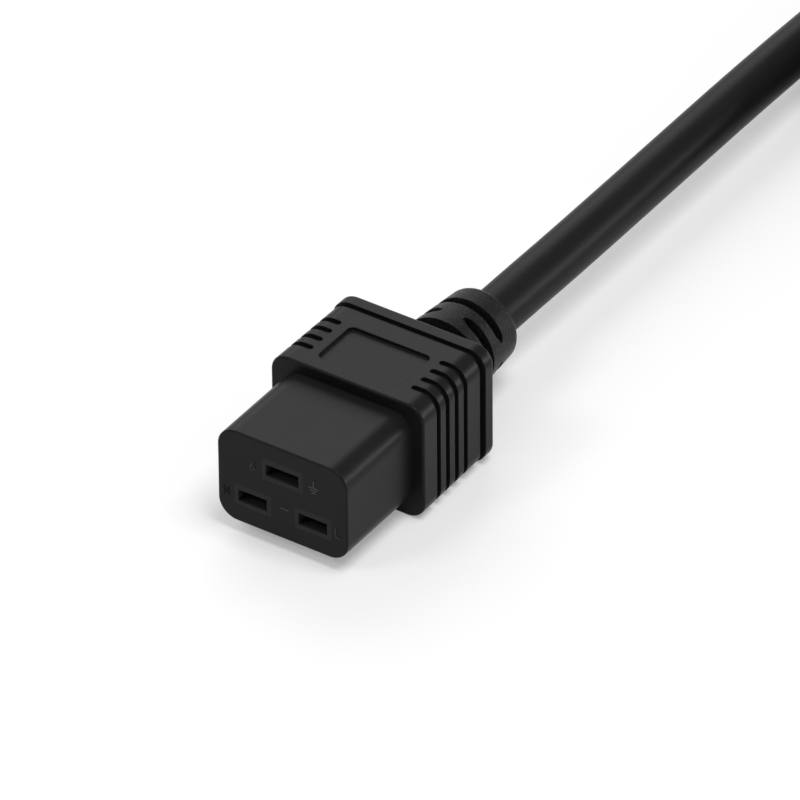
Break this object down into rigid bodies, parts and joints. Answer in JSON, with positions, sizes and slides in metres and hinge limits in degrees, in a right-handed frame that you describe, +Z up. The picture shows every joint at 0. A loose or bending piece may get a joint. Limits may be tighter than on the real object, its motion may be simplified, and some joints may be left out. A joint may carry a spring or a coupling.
{
  "type": "c19 power connector",
  "caption": "Moulded black C19 power connector with a grooved grip and slotted bend relief, on a thick round cord that is coiled and ends in a shrouded C20 plug.",
  "frame": {"origin": "under the middle of the connector (without its cord), on the surface that it lies on", "axes": "+Z up; the contact face looks along -Y and the cord leaves along +Y; +X is on the line contact's side"},
  "size_m": [0.1381, 0.2758, 0.027],
  "materials": {
    "black_pvc": "satin fine-grained moulded plastic",
    "black_insert": "smooth satin moulded plastic",
    "cord_jacket": "satin extruded plastic",
    "contact_brass": "bright strip",
    "pin_metal": "nickel plated brass",
    "copper": "bare copper strands",
    "core_brown": "brown core insulation",
    "core_blue": "light blue core insulation",
    "core_green_yellow": "green and yellow core insulation",
    "strap": "black woven hook and loop tape"
  },
  "bodies": {
    "root": {"connector_overmould": "black_pvc", "contact_carrier": "black_insert", "carrier_cap": "black_insert", "line_contact": "contact_brass", "line_core": "core_brown", "line_conductor": "copper", "neutral_contact": "contact_brass", "neutral_core": "core_blue", "neutral_conductor": "copper", "earth_contact": "contact_brass", "earth_core": "core_green_yellow", "earth_conductor": "copper", "cord_lead": "cord_jacket", "cord_coil": "cord_jacket", "cord_tail": "cord_jacket", "coil_strap_front": "strap", "coil_strap_rear": "strap", "plug_overmould": "black_pvc", "plug_insert": "black_insert", "plug_line_blade": "pin_metal", "plug_line_core": "core_brown", "plug_line_conductor": "copper", "plug_neutral_blade": "pin_metal", "plug_neutral_core": "core_blue", "plug_neutral_conductor": "copper", "plug_earth_blade": "pin_metal", "plug_earth_core": "core_green_yellow", "plug_earth_conductor": "copper"}
  },
  "joints": []
}
